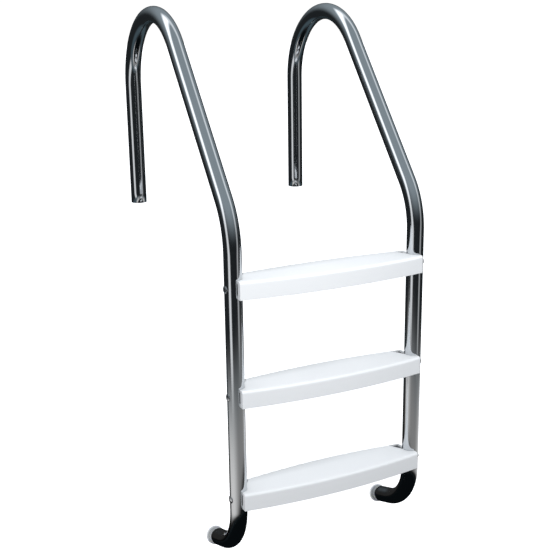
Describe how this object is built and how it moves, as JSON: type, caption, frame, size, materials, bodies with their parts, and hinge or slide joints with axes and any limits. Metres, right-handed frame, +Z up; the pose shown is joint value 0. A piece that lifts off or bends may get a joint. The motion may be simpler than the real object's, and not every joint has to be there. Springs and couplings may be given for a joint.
{
  "type": "pool ladder",
  "caption": "Rigid pool ladder: two bent tube handrails with hooked lower ends and wall bumpers, joined by white moulded treads bolted through the tubes.",
  "frame": {"origin": "Midway between the two deck legs, at their square-cut ends.", "axes": "+X along the treads to the right-hand rail seen from the pool, +Y from the treads towards the deck, +Z up."},
  "size_m": [0.6164, 0.8131, 1.5354],
  "materials": {
    "polished_steel": "polished stainless steel tube",
    "saddle_steel": "pressed stainless steel, darker where it sits in the notch",
    "fastener_steel": "stainless fasteners",
    "tread_plastic": "smooth white moulded plastic",
    "bumper_plastic": "soft off-white plastic"
  },
  "bodies": {
    "root": {"left_rail": "polished_steel", "left_wall_bumper": "bumper_plastic", "right_rail": "polished_steel", "right_wall_bumper": "bumper_plastic", "upper_tread": "tread_plastic", "upper_left_saddle": "saddle_steel", "upper_left_bolt": "fastener_steel", "upper_left_washer": "fastener_steel", "upper_left_nut": "fastener_steel", "upper_right_saddle": "saddle_steel", "upper_right_bolt": "fastener_steel", "upper_right_washer": "fastener_steel", "upper_right_nut": "fastener_steel", "middle_tread": "tread_plastic", "middle_left_saddle": "saddle_steel", "middle_left_bolt": "fastener_steel", "middle_left_washer": "fastener_steel", "middle_left_nut": "fastener_steel", "middle_right_saddle": "saddle_steel", "middle_right_bolt": "fastener_steel", "middle_right_washer": "fastener_steel", "middle_right_nut": "fastener_steel", "lower_tread": "tread_plastic", "lower_left_saddle": "saddle_steel", "lower_left_bolt": "fastener_steel", "lower_left_washer": "fastener_steel", "lower_left_nut": "fastener_steel", "lower_right_saddle": "saddle_steel", "lower_right_bolt": "fastener_steel", "lower_right_washer": "fastener_steel", "lower_right_nut": "fastener_steel"}
  },
  "joints": []
}
